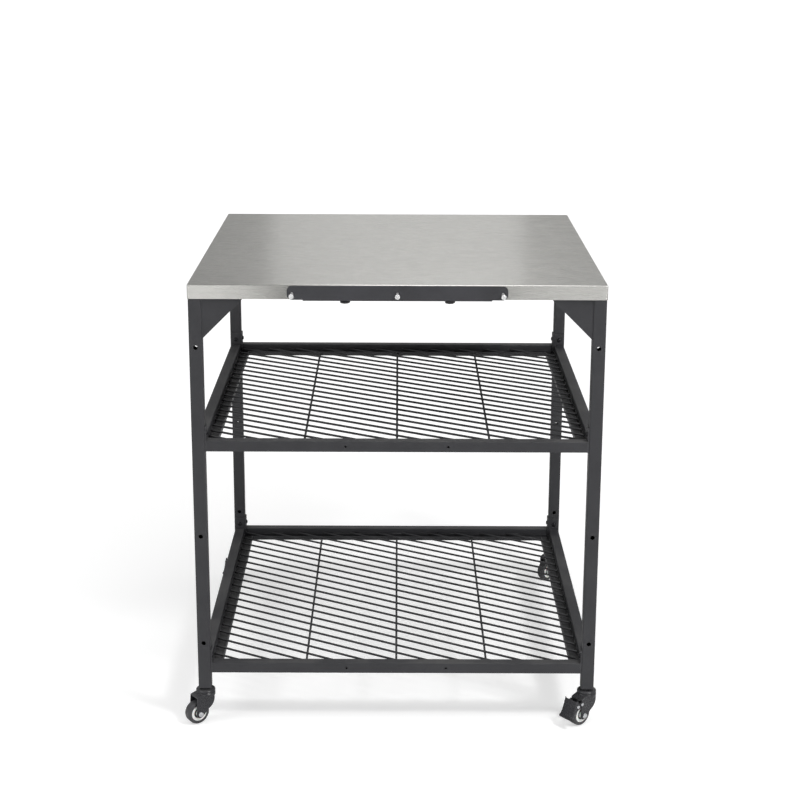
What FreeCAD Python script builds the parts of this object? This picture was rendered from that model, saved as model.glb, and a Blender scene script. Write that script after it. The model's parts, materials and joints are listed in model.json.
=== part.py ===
import FreeCAD, Part

import math
import os

from FreeCAD import Rotation, Vector

# A square outdoor table that carries a pizza oven: a folded stainless top on a welded frame of
# square tube, two bolted grid shelves, a rail of tool pegs on the front, and four casters.
# Sizes are millimetres. The origin is on the floor under the middle, +Z is up, the front faces -Y.

# Folded top
TABLE_WIDTH = 800.0
TABLE_DEPTH = 800.0
TOP_SHEET = 1.0
SKIRT_DEPTH = 28.0
TOP_BEND = 2.0
SKIRT_CLEARANCE = 0.2

# Frame tube, with heights measured from the lower end of the legs
LEG_LENGTH = 832.0
LEG_TUBE = 25.4
LEG_WALL = 1.5
LEG_CORNER = 2.5
LEG_HOLE = 9.0
LEG_HOLE_HEIGHTS = (98.0, 325.0, 709.0)
GUSSET = 81.0
GUSSET_SHEET = 3.0
STIFFENER_TUBE = 20.0
STIFFENER_WALL = 1.5
STIFFENER_CORNER = 2.0
STIFFENER_SPACING = 266.0
INSERT_LENGTH = 25.0
INSERT_CLEARANCE = 0.1

# Shelves
RAIL_TUBE = 22.0
RAIL_WALL = 1.2
RAIL_CORNER = 2.0
LOWER_SHELF = 33.0
UPPER_SHELF = 500.0
RAIL_HOLE = 5.0
RAIL_HOLE_SPACING = 200.0
ANGLE_SHEET = 2.5
ANGLE_HEIGHT = 50.0
ANGLE_BOLT = 35.0

# Grid inside each shelf: wires at a slant, laid across an upturned channel
CHANNEL_WIDTH = 22.0
CHANNEL_HEIGHT = 9.0
CHANNEL_WALL = 2.0
CORNER_CLEARANCE = 0.5
WIRE = 4.5
WIRE_PITCH = 32.0
WIRE_SLANT = 30.0
WIRE_START = 10.0
WIRE_SETBACK = 2.5
CROSS_WIRES = 3
CROSS_SPACING = 183.0
WELD = 0.4
SHORTEST_WIRE = 44.0

# Button-head screws and weld nuts that hold the shelves to the legs
SCREW = 6.0
SCREW_LENGTH = 10.0
SCREW_HEAD = 10.5
SCREW_HEAD_HEIGHT = 3.3
SCREW_SOCKET = 4.0
SCREW_SOCKET_DEPTH = 1.8
SCREW_HOLE_CLEARANCE = 0.3
THREAD_CLEARANCE = 0.05
NUT_ACROSS = 10.0
NUT_HEIGHT = 5.0

# Tool rail on the front skirt
TOOL_RAIL_LENGTH = 420.0
TOOL_RAIL_HEIGHT = 27.0
TOOL_RAIL_SHEET = 2.5
TOOL_RAIL_DROP = 1.6
TOOL_RAIL_CORNER = 10.0
LIP_LENGTH = 360.0
LIP_MARGIN = 12.0
LIP_CLEARANCE = 0.5
LIP_HEEL = 2.4
PEG = 5.0
PEG_SPACING = 200.0
PEG_COUNT = 3
PEG_REACH = 30.0
PEG_DROP = 1.3
PEG_HEAD = 9.5
PEG_HEAD_LENGTH = 3.0
PEG_HEAD_ROUND = 0.8
KNOB = 20.0
KNOB_HEIGHT = 7.0
KNOB_FILLET = 3.0
KNOB_SPACING = 200.0
KNOB_SCREW_LENGTH = 15.0

# Casters, in their own frame: x runs from the stem to the axle, y along the axle, z up
WHEEL = 47.0
TYRE_WIDTH = 19.5
TYRE_SHOULDER = 4.0
TYRE_LIP = 0.5
TYRE_SEAT = 16.5
TRAIL = 21.0
HUB_RIM = 9.0
HUB_RING = 11.0
HUB_WEB = 4.0
HUB_BOSS = 7.0
GUARD_DEPTH = 3.6
GUARD_CLEARANCE = 0.05
AXLE = 6.0
AXLE_CLEARANCE = 0.1
AXLE_HEAD = 11.0
AXLE_HEAD_HEIGHT = 4.2
AXLE_HEAD_ROUND = 2.0
AXLE_THREAD_END = 1.0
FORK_SHEET = 2.0
FORK_GAP = 26.5
HUB_SIDE_PLAY = 0.4
FORK_TIP = 8.5
FORK_NOSE = 6.0
FORK_BEND = 2.0
FORK_CREST = 11.0
FORK_RELIEF = 8.0
FORK_HEEL_INSET = 1.0
FORK_WAIST_AHEAD = 2.2
FORK_WAIST_ABOVE = 7.5
FORK_SWEEP_BEHIND = 8.0
FORK_SWEEP_DROP = 5.5
BOWL = 24.0
WHEEL_HEADROOM = 10.0
DOME = 39.0
DOME_RISE = 6.5
DOME_SHEET = 2.5
DOME_SHOULDER = 2.0
SWIVEL_GAP = 0.8
CUP_HEIGHT = 5.2
CUP_BRIM = 1.2
CUP_SHOULDER = 7.0
ROUNDING_STEPS = 8
STEM = 8.0
STEM_CLEARANCE = 0.1
STEM_LENGTH = 20.0
STEM_HEX = 13.0
STEM_HEX_HEIGHT = 3.5
RIVET_HEAD = 14.0
RIVET_HEAD_HEIGHT = 2.4
RIVET_PLAY = 0.2
BALL = 4.0
BALL_CIRCLE = 26.0
BALL_COUNT = 12
BALL_CLEARANCE = 0.3

# Brake pedal: its corners are measured from its pivot
PEDAL_PIVOT_AHEAD = 20.5
PEDAL_PIVOT_ABOVE = 25.5
PEDAL_PIN = 3.6
PEDAL_PIN_CLEARANCE = 0.1
PEDAL_PIN_HEAD = 6.5
PEDAL_PIN_HEAD_HEIGHT = 1.6
PEDAL_LUG = 8.4
PEDAL_SHEET = 2.0
PEDAL_EAR_SHEET = 1.5
PEDAL_SIDE_PLAY = 0.3
PEDAL_TOP = (3.5, 12.0)
PEDAL_KNEE = (12.0, -14.0)
PEDAL_TOE = (18.5, -24.5)
PEDAL_EAR_DROP = 10.0
PEDAL_HEEL_ANGLE = 240.0
STOP_PIN_AHEAD = 7.0
STOP_PIN_ABOVE = 26.5

# A cutting body passes the face that it cuts by this much, and a face counts as reached within this
OVERCUT = 1.0
NEAR = 0.01
PARALLEL = 0.999

# Direction in which each wheel trails its stem, in degrees about +Z from +X
CASTERS = {
    "front_left": {"side": -1, "end": -1, "trails": 215.0, "brake": False},
    "front_right": {"side": 1, "end": -1, "trails": 220.0, "brake": True},
    "rear_left": {"side": -1, "end": 1, "trails": 244.0, "brake": True},
    "rear_right": {"side": 1, "end": 1, "trails": 222.0, "brake": False},
}

# Heights up the caster, from the floor to the leg
AXLE_HEIGHT = WHEEL / 2
FORK_UNDERSIDE = WHEEL + WHEEL_HEADROOM
FORK_TOP = FORK_UNDERSIDE + FORK_SHEET
DOME_TOP = FORK_TOP + DOME_RISE
CUP_UNDERSIDE = DOME_TOP + SWIVEL_GAP
CUP_TOP = CUP_UNDERSIDE + CUP_HEIGHT
LEG_BOTTOM = CUP_TOP + STEM_HEX_HEIGHT

# Heights and half widths of the frame
LEG_TOP = LEG_BOTTOM + LEG_LENGTH
TABLE_TOP = LEG_TOP + TOP_SHEET
APRON_BOTTOM = LEG_TOP - LEG_TUBE
SKIRT_BOTTOM = TABLE_TOP - SKIRT_DEPTH
FRAME_X = TABLE_WIDTH / 2 - TOP_SHEET - SKIRT_CLEARANCE
FRAME_Y = TABLE_DEPTH / 2 - TOP_SHEET - SKIRT_CLEARANCE
LEG_X = FRAME_X - LEG_TUBE / 2
LEG_Y = FRAME_Y - LEG_TUBE / 2
INNER_X = FRAME_X - LEG_TUBE
INNER_Y = FRAME_Y - LEG_TUBE
SCREW_HOLE = SCREW + 2 * SCREW_HOLE_CLEARANCE

SIDES = {"left": -1, "right": 1}
ENDS = {"front": -1, "rear": 1}
UP = Vector(0, 0, 1)


def export(shape, node):
    """Write one sub-part, after a check that every solid in it is sound."""
    for solid in shape.Solids:
        if not solid.isValid() or solid.Volume <= 0:
            raise ValueError("unsound solid in " + node)
    shape.exportStep("parts/" + node + ".step")


def group(solids):
    """Several separate solids that share one node."""
    return Part.makeCompound(solids)


def block(low, high):
    """Box between two opposite corners."""
    size = Vector(*high) - Vector(*low)
    return Part.makeBox(size.x, size.y, size.z, Vector(*low))


def edges_along(solid, axis):
    """Straight edges of a solid that run along an axis."""
    found = []
    for edge in solid.Edges:
        if not isinstance(edge.Curve, Part.Line):
            continue
        if abs(edge.Curve.Direction.dot(axis)) > PARALLEL:
            found.append(edge)
    return found


def bar(low, high, axis, corner):
    """Box with its edges along one axis rounded."""
    solid = block(low, high)
    return solid.makeFillet(corner, edges_along(solid, axis))


def grow(low, high, margin, axis):
    """Two corners of a box, moved apart by a margin on every axis but one."""
    step = Vector(margin, margin, margin) - axis * margin
    return Vector(*low) - step, Vector(*high) + step


def square_tube(low, high, axis, wall, corner):
    """Square tube along one axis, open at both ends."""
    outside = bar(low, high, axis, corner)
    bore_low, bore_high = grow(low, high, -wall, axis)
    return outside.cut(bar(bore_low, bore_high, axis, corner - wall))


def cylinder(radius, start, end):
    """Round bar between two points."""
    run = Vector(*end) - Vector(*start)
    return Part.makeCylinder(radius, run.Length, Vector(*start), run)


def polygon(points):
    """Face inside a closed run of straight lines."""
    closed = [Vector(*p) for p in points]
    return Part.Face(Part.makePolygon(closed + closed[:1]))


def hex_prism(across, start, end):
    """Hexagonal bar between two points, with its flats the given width apart."""
    run = Vector(*end) - Vector(*start)
    reach = across / math.sqrt(3)
    corners = [Vector(reach * math.cos(a), reach * math.sin(a), 0)
               for a in (math.radians(60 * k) for k in range(6))]
    prism = polygon(corners).extrude(Vector(0, 0, run.Length))
    prism.Placement = FreeCAD.Placement(Vector(*start), Rotation(UP, run))
    return prism


def turned(profile):
    """Solid of revolution about the Z axis; the profile is (radius, height) points."""
    face = polygon([(r, 0, z) for r, z in profile])
    return face.revolve(Vector(0, 0, 0), UP, 360)


def moved(shape, place, rotation):
    """Copy of a shape, turned about the origin and then moved."""
    copy = shape.copy()
    copy.Placement = FreeCAD.Placement(Vector(*place), rotation).multiply(shape.Placement)
    return copy


def stood(shape, start, direction):
    """A shape made on +Z from the origin, moved to a point and turned to a direction."""
    return moved(shape, start, Rotation(UP, Vector(*direction)))


# Top and frame

def tabletop_pan():
    """Folded sheet with a skirt on all four sides, its corners shaped to the legs' corners."""
    low = (-TABLE_WIDTH / 2, -TABLE_DEPTH / 2, SKIRT_BOTTOM)
    high = (TABLE_WIDTH / 2, TABLE_DEPTH / 2, TABLE_TOP)
    corner = LEG_CORNER + TOP_SHEET + SKIRT_CLEARANCE
    outside = bar(low, high, UP, corner)
    rim = [e for e in outside.Edges if e.BoundBox.ZMin > TABLE_TOP - NEAR]
    outside = outside.makeFillet(TOP_BEND, rim)
    inner_low = (low[0] + TOP_SHEET, low[1] + TOP_SHEET, SKIRT_BOTTOM)
    inner_high = (high[0] - TOP_SHEET, high[1] - TOP_SHEET, LEG_TOP)
    inside = bar(inner_low, inner_high, UP, corner - TOP_SHEET)
    return outside.cut(inside)


def leg(side, end):
    """Corner leg, drilled from front to back for accessories and threaded for the shelves."""
    x, y = side * LEG_X, end * LEG_Y
    half = LEG_TUBE / 2
    solid = square_tube((x - half, y - half, LEG_BOTTOM), (x + half, y + half, LEG_TOP),
                        UP, LEG_WALL, LEG_CORNER)
    for height in LEG_HOLE_HEIGHTS:
        z = LEG_BOTTOM + height
        solid = solid.cut(cylinder(LEG_HOLE / 2, (x, y - LEG_TUBE, z), (x, y + LEG_TUBE, z)))
    for z in shelf_screw_heights():
        solid = solid.cut(cylinder(SCREW_HOLE / 2, (x, y, z), (x - side * LEG_TUBE, y, z)))
        solid = solid.cut(cylinder(SCREW_HOLE / 2, (x, y, z), (x, y - end * LEG_TUBE, z)))
    return solid


def apron_along_x(end):
    """Rail under the front or rear edge of the top."""
    y = end * LEG_Y
    half = LEG_TUBE / 2
    solid = square_tube((-INNER_X, y - half, APRON_BOTTOM), (INNER_X, y + half, LEG_TOP),
                        Vector(1, 0, 0), LEG_WALL, LEG_CORNER)
    if end == ENDS["front"]:
        for x in knob_places():
            bore = cylinder(SCREW_HOLE / 2, (x, y, SKIRT_BOTTOM), (x, y, APRON_BOTTOM + half))
            solid = solid.cut(bore)
    return solid


def apron_along_y(side):
    """Rail under the left or right edge of the top."""
    x = side * LEG_X
    half = LEG_TUBE / 2
    return square_tube((x - half, -INNER_Y, APRON_BOTTOM), (x + half, INNER_Y, LEG_TOP),
                       Vector(0, 1, 0), LEG_WALL, LEG_CORNER)


def top_stiffeners():
    """Two tubes from front to back that bear the sheet under the oven."""
    half = STIFFENER_TUBE / 2
    tubes = []
    for side in SIDES.values():
        x = side * STIFFENER_SPACING / 2
        tubes.append(square_tube((x - half, -INNER_Y, LEG_TOP - STIFFENER_TUBE),
                                 (x + half, INNER_Y, LEG_TOP),
                                 Vector(0, 1, 0), STIFFENER_WALL, STIFFENER_CORNER))
    return group(tubes)


def gussets_across():
    """Triangular plates between the legs and the front and rear aprons."""
    plates = []
    for end in ENDS.values():
        face_y = end * (FRAME_Y - LEG_CORNER)
        for side in SIDES.values():
            corner = (side * INNER_X, face_y, APRON_BOTTOM)
            tip = (side * (INNER_X - GUSSET), face_y, APRON_BOTTOM)
            foot = (side * INNER_X, face_y, APRON_BOTTOM - GUSSET)
            plates.append(polygon([corner, tip, foot]).extrude(Vector(0, -end * GUSSET_SHEET, 0)))
    return group(plates)


def gussets_along():
    """Triangular plates between the legs and the side aprons."""
    plates = []
    for side in SIDES.values():
        face_x = side * (FRAME_X - LEG_CORNER)
        for end in ENDS.values():
            corner = (face_x, end * INNER_Y, APRON_BOTTOM)
            tip = (face_x, end * (INNER_Y - GUSSET), APRON_BOTTOM)
            foot = (face_x, end * INNER_Y, APRON_BOTTOM - GUSSET)
            plates.append(polygon([corner, tip, foot]).extrude(Vector(-side * GUSSET_SHEET, 0, 0)))
    return group(plates)


def leg_inserts():
    """Threaded plugs in the lower ends of the legs, one for each caster's stem."""
    half = LEG_TUBE / 2 - LEG_WALL - INSERT_CLEARANCE
    corner = LEG_CORNER - LEG_WALL
    plugs = []
    for side in SIDES.values():
        for end in ENDS.values():
            x, y = side * LEG_X, end * LEG_Y
            plug = bar((x - half, y - half, LEG_BOTTOM),
                       (x + half, y + half, LEG_BOTTOM + INSERT_LENGTH), UP, corner)
            thread = cylinder(STEM / 2 + THREAD_CLEARANCE, (x, y, LEG_BOTTOM - OVERCUT),
                              (x, y, LEG_BOTTOM + INSERT_LENGTH + OVERCUT))
            plugs.append(plug.cut(thread))
    return group(plugs)


# Screws and nuts

def shelf_heights():
    """Undersides of the two shelves."""
    return {"lower": LEG_BOTTOM + LOWER_SHELF, "upper": LEG_BOTTOM + UPPER_SHELF}


def shelf_screw_heights():
    """Heights of the screws that hold the shelves."""
    return [z + ANGLE_BOLT for z in shelf_heights().values()]


def screw_seats():
    """Each corner's two screws: the point on the leg's face and the way out of the leg."""
    seats = []
    for side in SIDES.values():
        for end in ENDS.values():
            seats.append((Vector(side * INNER_X, end * LEG_Y, 0), Vector(-side, 0, 0)))
            seats.append((Vector(side * LEG_X, end * INNER_Y, 0), Vector(0, -end, 0)))
    return seats


def button_screw():
    """Button-head screw: the head stands on +Z from the origin and the shank runs down."""
    dome = quarter_round(SCREW_HEAD / 2, 0, SCREW_HEAD / 2, SCREW_HEAD_HEIGHT)
    profile = [(0, -SCREW_LENGTH), (SCREW / 2, -SCREW_LENGTH), (SCREW / 2, 0)] + dome
    screw = turned(profile)
    socket = hex_prism(SCREW_SOCKET, (0, 0, SCREW_HEAD_HEIGHT - SCREW_SOCKET_DEPTH),
                       (0, 0, SCREW_HEAD_HEIGHT + OVERCUT))
    return screw.cut(socket)


def weld_nut():
    """Hexagonal nut that stands on +Z from the origin."""
    nut = hex_prism(NUT_ACROSS, (0, 0, 0), (0, 0, NUT_HEIGHT))
    return nut.cut(cylinder(SCREW / 2 + THREAD_CLEARANCE, (0, 0, -OVERCUT),
                            (0, 0, NUT_HEIGHT + OVERCUT)))


def weld_nuts():
    """Nuts welded inside the legs for the shelves, and inside the front apron for the knobs."""
    nuts = []
    for z in shelf_screw_heights():
        for face, out in screw_seats():
            nuts.append(stood(weld_nut(), face - out * LEG_WALL + UP * z, -out))
    for x in knob_places():
        nuts.append(stood(weld_nut(), (x, -LEG_Y, APRON_BOTTOM + LEG_WALL), UP))
    return group(nuts)


def shelf_screws(underside):
    """The eight screws of one shelf, each with its head on a corner angle."""
    z = underside + ANGLE_BOLT
    return group([stood(button_screw(), face + out * ANGLE_SHEET + UP * z, out)
                  for face, out in screw_seats()])


# Shelves

def shelf_rail_x(underside, end):
    """Front or rear rail of a shelf, drilled through for accessories."""
    y = end * LEG_Y
    half = RAIL_TUBE / 2
    reach = INNER_X - ANGLE_SHEET
    solid = square_tube((-reach, y - half, underside), (reach, y + half, underside + RAIL_TUBE),
                        Vector(1, 0, 0), RAIL_WALL, RAIL_CORNER)
    z = underside + half
    for side in SIDES.values():
        x = side * RAIL_HOLE_SPACING / 2
        solid = solid.cut(cylinder(RAIL_HOLE / 2, (x, y - RAIL_TUBE, z), (x, y + RAIL_TUBE, z)))
    return solid


def shelf_rail_y(underside, side):
    """Left or right rail of a shelf."""
    x = side * LEG_X
    half = RAIL_TUBE / 2
    reach = INNER_Y - ANGLE_SHEET
    return square_tube((x - half, -reach, underside), (x + half, reach, underside + RAIL_TUBE),
                       Vector(0, 1, 0), RAIL_WALL, RAIL_CORNER)


def shelf_angles(underside):
    """Upright angles on the inner corner of each leg: the rails are welded to them."""
    outer = RAIL_TUBE / 2
    angles = []
    for side in SIDES.values():
        for end in ENDS.values():
            near_x, near_y = side * INNER_X, end * INNER_Y
            far_x, far_y = side * (INNER_X - ANGLE_SHEET), end * (INNER_Y - ANGLE_SHEET)
            edge_x, edge_y = side * (LEG_X + outer), end * (LEG_Y + outer)
            plan = [(near_x, edge_y), (far_x, edge_y), (far_x, far_y),
                    (edge_x, far_y), (edge_x, near_y), (near_x, near_y)]
            angle = polygon([(x, y, underside) for x, y in plan]).extrude(UP * ANGLE_HEIGHT)
            z = underside + ANGLE_BOLT
            angle = angle.cut(cylinder(SCREW_HOLE / 2, (side * LEG_X, end * LEG_Y, z),
                                       (0, end * LEG_Y, z)))
            angle = angle.cut(cylinder(SCREW_HOLE / 2, (side * LEG_X, end * LEG_Y, z),
                                       (side * LEG_X, 0, z)))
            angles.append(angle)
    return group(angles)


def slanted_wires(reach_x, reach_y, height):
    """Parallel wires at a slant, each cut where it leaves the shelf's inner rectangle."""
    slope = -math.tan(math.radians(WIRE_SLANT))
    step = WIRE_PITCH / math.cos(math.radians(WIRE_SLANT))
    start = WIRE_START / math.cos(math.radians(WIRE_SLANT))
    furthest = reach_y + abs(slope) * reach_x
    wires = []
    for k in range(-math.ceil(furthest / step) - 1, math.ceil(furthest / step) + 2):
        offset = start + k * step
        x_at_rear = (reach_y - offset) / slope
        x_at_front = (-reach_y - offset) / slope
        left = max(-reach_x, x_at_rear)
        right = min(reach_x, x_at_front)
        if right - left < SHORTEST_WIRE:
            continue
        wires.append(cylinder(WIRE / 2, (left, offset + slope * left, height),
                              (right, offset + slope * right, height)))
    return wires


def shelf_grid(underside):
    """Welded grid: an upturned channel round the edge, slanted wires on it, cross wires below."""
    outer_x = LEG_X - RAIL_TUBE / 2
    outer_y = LEG_Y - RAIL_TUBE / 2
    inner_x = outer_x - CHANNEL_WIDTH
    inner_y = outer_y - CHANNEL_WIDTH
    rim_top = underside + CHANNEL_HEIGHT
    frame = block((-outer_x, -outer_y, underside), (outer_x, outer_y, rim_top))
    frame = frame.cut(block((-inner_x, -inner_y, underside - OVERCUT),
                            (inner_x, inner_y, rim_top + OVERCUT)))
    trough_low = block((CHANNEL_WALL - outer_x, CHANNEL_WALL - outer_y, underside + CHANNEL_WALL),
                       (outer_x - CHANNEL_WALL, outer_y - CHANNEL_WALL, rim_top + OVERCUT))
    island = block((-inner_x - CHANNEL_WALL, -inner_y - CHANNEL_WALL, underside),
                   (inner_x + CHANNEL_WALL, inner_y + CHANNEL_WALL, rim_top + OVERCUT))
    frame = frame.cut(trough_low.cut(island))
    notch_x = INNER_X - ANGLE_SHEET - CORNER_CLEARANCE
    notch_y = INNER_Y - ANGLE_SHEET - CORNER_CLEARANCE
    for side in SIDES.values():
        for end in ENDS.values():
            low = (min(side * notch_x, side * outer_x), min(end * notch_y, end * outer_y),
                   underside - OVERCUT)
            high = (max(side * notch_x, side * outer_x), max(end * notch_y, end * outer_y),
                    rim_top + OVERCUT)
            frame = frame.cut(block(low, high))
    wires = slanted_wires(outer_x - WIRE_SETBACK, outer_y - WIRE_SETBACK,
                          rim_top + WIRE / 2 - WELD)
    cross_z = rim_top - WIRE / 2
    for k in range(CROSS_WIRES):
        x = CROSS_SPACING * (k - (CROSS_WIRES - 1) / 2)
        reach = inner_y + CHANNEL_WALL / 2
        wires.append(cylinder(WIRE / 2, (x, -reach, cross_z), (x, reach, cross_z)))
    return frame.multiFuse(wires)


# Tool rail

def knob_places():
    """Where the two knobs stand along the front apron."""
    return [side * KNOB_SPACING / 2 for side in SIDES.values()]


def peg_places():
    """Where the pegs stand along the tool rail."""
    return [PEG_SPACING * (k - (PEG_COUNT - 1) / 2) for k in range(PEG_COUNT)]


def peg_height():
    """Pegs stand a little below half the height of the rail's face."""
    return TABLE_TOP - TOOL_RAIL_DROP - TOOL_RAIL_HEIGHT / 2 - PEG_DROP


def lip_top():
    """Upper side of the rail's lip, just under the skirt."""
    return SKIRT_BOTTOM - LIP_CLEARANCE


def tool_rail():
    """Bent plate: a face against the skirt and a lip that runs back under the front apron."""
    back = -TABLE_DEPTH / 2
    front = back - TOOL_RAIL_SHEET
    top = TABLE_TOP - TOOL_RAIL_DROP
    face = bar((-TOOL_RAIL_LENGTH / 2, front, top - TOOL_RAIL_HEIGHT),
               (TOOL_RAIL_LENGTH / 2, back, top), Vector(0, 1, 0), TOOL_RAIL_CORNER)
    lip_low = lip_top() - TOOL_RAIL_SHEET
    lip = block((-LIP_LENGTH / 2, front, lip_low), (LIP_LENGTH / 2, LIP_MARGIN - LEG_Y, lip_top()))
    heel = [e for e in edges_along(lip, Vector(1, 0, 0))
            if e.BoundBox.YMin < front + NEAR and e.BoundBox.ZMin < lip_low + NEAR]
    plate = face.fuse(lip.makeFillet(LIP_HEEL, heel)).removeSplitter()
    for x in knob_places():
        plate = plate.cut(cylinder(SCREW_HOLE / 2, (x, -LEG_Y, lip_low - OVERCUT),
                                   (x, -LEG_Y, lip_top() + OVERCUT)))
    for x in peg_places():
        plate = plate.cut(cylinder(PEG / 2, (x, front - OVERCUT, peg_height()),
                                   (x, back, peg_height())))
    return plate


def tool_pegs():
    """Headed pegs riveted through the rail's face."""
    back = -TABLE_DEPTH / 2
    front = back - TOOL_RAIL_SHEET
    z = peg_height()
    pegs = []
    for x in peg_places():
        shank = cylinder(PEG / 2, (x, back, z), (x, front - PEG_REACH, z))
        head = cylinder(PEG_HEAD / 2, (x, front - PEG_REACH + PEG_HEAD_LENGTH, z),
                        (x, front - PEG_REACH, z))
        rims = [e for e in head.Edges if isinstance(e.Curve, Part.Circle)]
        head = head.makeFillet(PEG_HEAD_ROUND, rims)
        pegs.append(shank.fuse(head).removeSplitter())
    return group(pegs)


def thumbscrews():
    """Knobs under the lip whose screws run up into the front apron."""
    seat = lip_top() - TOOL_RAIL_SHEET
    screws = []
    for x in knob_places():
        knob = cylinder(KNOB / 2, (x, -LEG_Y, seat - KNOB_HEIGHT), (x, -LEG_Y, seat))
        lower = [e for e in knob.Edges if e.BoundBox.ZMax < seat - KNOB_HEIGHT + NEAR]
        knob = knob.makeFillet(KNOB_FILLET, lower)
        shank = cylinder(SCREW / 2, (x, -LEG_Y, seat), (x, -LEG_Y, seat + KNOB_SCREW_LENGTH))
        screws.append(knob.fuse(shank))
    return group(screws)


# Casters, made in their own frame and then set under a leg

def at_leg(shape, caster):
    """Turn a caster's piece to its trailing direction and set it under its leg."""
    place = Vector(caster["side"] * LEG_X, caster["end"] * LEG_Y, 0)
    return moved(shape, place, Rotation(UP, caster["trails"]))


def tangent_point(outside, centre, radius, turn):
    """Point where a line from outside touches a circle in the XZ plane, on the side of turn."""
    run = outside - centre
    swing = math.acos(radius / run.Length)
    angle = math.atan2(run.z, run.x) + turn * swing
    return centre + Vector(math.cos(angle), 0, math.sin(angle)) * radius


def quarter_round(edge, start, width, rise):
    """Profile points (radius, height) of a convex shoulder that ends level with its top."""
    points = []
    for k in range(ROUNDING_STEPS + 1):
        angle = math.radians(90) * k / ROUNDING_STEPS
        points.append((edge - width + width * math.cos(angle), start + rise * math.sin(angle)))
    return points


def ball_groove(height):
    """Ring that the swivel's balls run in."""
    return Part.makeTorus(BALL_CIRCLE / 2, BALL / 2 + BALL_CLEARANCE, Vector(0, 0, height))


def ball_height():
    """The balls run half in the cup and half in the dome."""
    return DOME_TOP + SWIVEL_GAP / 2


def caster_mount():
    """Threaded stem with its hexagon, the upper cup, and the rivet that carries the fork."""
    shoulder = quarter_round(DOME / 2, CUP_UNDERSIDE + CUP_BRIM, CUP_SHOULDER,
                             CUP_HEIGHT - CUP_BRIM)
    cup = turned([(0, CUP_UNDERSIDE), (DOME / 2, CUP_UNDERSIDE)] + shoulder + [(0, CUP_TOP)])
    cup = cup.cut(ball_groove(ball_height()))
    hexagon = hex_prism(STEM_HEX, (0, 0, CUP_TOP), (0, 0, LEG_BOTTOM))
    rivet_top = DOME_TOP - DOME_SHEET - RIVET_PLAY
    rivet = cylinder(RIVET_HEAD / 2, (0, 0, rivet_top - RIVET_HEAD_HEIGHT), (0, 0, rivet_top))
    stem = cylinder(STEM / 2, (0, 0, rivet_top), (0, 0, LEG_BOTTOM + STEM_LENGTH))
    return cup.multiFuse([hexagon, rivet, stem]).removeSplitter()


def pedal_pivot():
    """Pivot of the brake pedal in the caster's frame."""
    return Vector(TRAIL + PEDAL_PIVOT_AHEAD, 0, AXLE_HEIGHT + PEDAL_PIVOT_ABOVE)


def stop_pin():
    """Small pin on the fork's cheeks behind the pedal's pivot."""
    return Vector(TRAIL + STOP_PIN_AHEAD, 0, AXLE_HEIGHT + STOP_PIN_ABOVE)


def fork_outline():
    """Side view of the fork: it slopes from the dome to a nose, with a round tip at the axle."""
    rear = FORK_HEEL_INSET - math.sqrt((DOME / 2) ** 2 - (FORK_GAP / 2 + FORK_SHEET) ** 2)
    axle = Vector(TRAIL, 0, AXLE_HEIGHT)
    heel = Vector(rear, 0, FORK_TOP)
    rear_crest = Vector(0, 0, fork_crest())
    front_crest = Vector(FORK_CREST, 0, fork_crest())
    nose = Vector(TRAIL + FORK_NOSE, 0, FORK_TOP)
    waist = Vector(FORK_WAIST_AHEAD, 0, AXLE_HEIGHT + FORK_WAIST_ABOVE)
    sweep = Vector(-FORK_SWEEP_BEHIND, 0, (FORK_TOP + waist.z) / 2 - FORK_SWEEP_DROP)
    front_touch = tangent_point(nose, axle, FORK_TIP, -1)
    rear_touch = tangent_point(waist, axle, FORK_TIP, 1)
    edges = [Part.makeLine(heel, rear_crest),
             Part.makeLine(rear_crest, front_crest),
             Part.makeLine(front_crest, nose),
             Part.makeLine(nose, front_touch),
             Part.Arc(front_touch, axle - UP * FORK_TIP, rear_touch).toShape(),
             Part.makeLine(rear_touch, waist),
             Part.Arc(waist, sweep, heel).toShape()]
    return Part.Face(Part.Wire(edges))


def fork_crest():
    """Height at which the fork's slope meets the side of the dome."""
    return DOME_TOP - DOME_SHOULDER


def fork_hollow():
    """Space between the cheeks, with a roof that follows the slope one sheet lower."""
    roof = [(-DOME, 0), (2 * DOME, 0), (2 * DOME, FORK_UNDERSIDE),
            (TRAIL + FORK_NOSE, FORK_UNDERSIDE), (FORK_CREST, fork_crest() - FORK_SHEET),
            (FORK_RELIEF, fork_crest() - FORK_SHEET), (FORK_RELIEF, FORK_UNDERSIDE),
            (-DOME, FORK_UNDERSIDE)]
    side = polygon([(x, -FORK_GAP / 2, z) for x, z in roof])
    return side.extrude(Vector(0, FORK_GAP, 0))


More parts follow.
